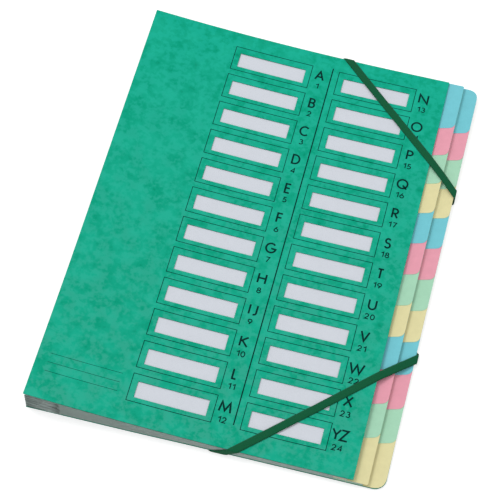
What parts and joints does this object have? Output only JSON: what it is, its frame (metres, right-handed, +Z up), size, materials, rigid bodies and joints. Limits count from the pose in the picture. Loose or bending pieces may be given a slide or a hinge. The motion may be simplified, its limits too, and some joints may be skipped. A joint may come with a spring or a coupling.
{
  "type": "expanding file sorter",
  "caption": "A4 sorter file with a windowed pressboard cover, stepped coloured letter tabs, an accordion spine and flat corner elastics.",
  "frame": {"origin": "centre of the overall box, on the table it lies on", "axes": "+X from the spine to the tabs, +Y to the top edge, +Z up through the front cover"},
  "size_m": [0.2402, 0.3218, 0.0194],
  "materials": {
    "cover_front": "glazed mottled pressboard",
    "cover_back": "glazed mottled pressboard",
    "index_card": "matt",
    "gusset": "matt kraft",
    "tab_blue": "matt card",
    "tab_pink": "matt card",
    "tab_green": "matt card",
    "tab_yellow": "matt card",
    "elastic": "woven flat elastic",
    "clip": "stamped"
  },
  "bodies": {
    "file": {"back_cover": "cover_back", "spine_gusset": "gusset", "divider_01_a": "tab_blue", "divider_02_b": "tab_pink", "divider_03_c": "tab_green", "divider_04_d": "tab_yellow", "divider_05_e": "tab_blue", "divider_06_f": "tab_pink", "divider_07_g": "tab_green", "divider_08_h": "tab_yellow", "divider_09_ij": "tab_blue", "divider_10_k": "tab_pink", "divider_11_l": "tab_green", "divider_12_m": "tab_yellow", "divider_13_n": "tab_blue", "divider_14_o": "tab_pink", "divider_15_p": "tab_green", "divider_16_q": "tab_yellow", "divider_17_r": "tab_blue", "divider_18_s": "tab_pink", "divider_19_t": "tab_green", "divider_20_u": "tab_yellow", "divider_21_v": "tab_blue", "divider_22_w": "tab_pink", "divider_23_x": "tab_green", "divider_24_yz": "tab_yellow", "elastic_upper": "elastic", "elastic_lower": "elastic", "elastic_clip_1": "clip", "elastic_clip_2": "clip", "elastic_clip_3": "clip", "elastic_clip_4": "clip"},
    "front": {"front_cover": "cover_front", "index_sheet": "index_card"}
  },
  "joints": [
    {"name": "front_cover_hinge", "type": "hinge", "parent": "file", "child": "front", "pos_m": [-0.12011, 0, 0.01885], "axis": [0, -1, 0], "range_deg": [0, 187], "deforming": ["elastic_upper", "elastic_lower"]}
  ]
}
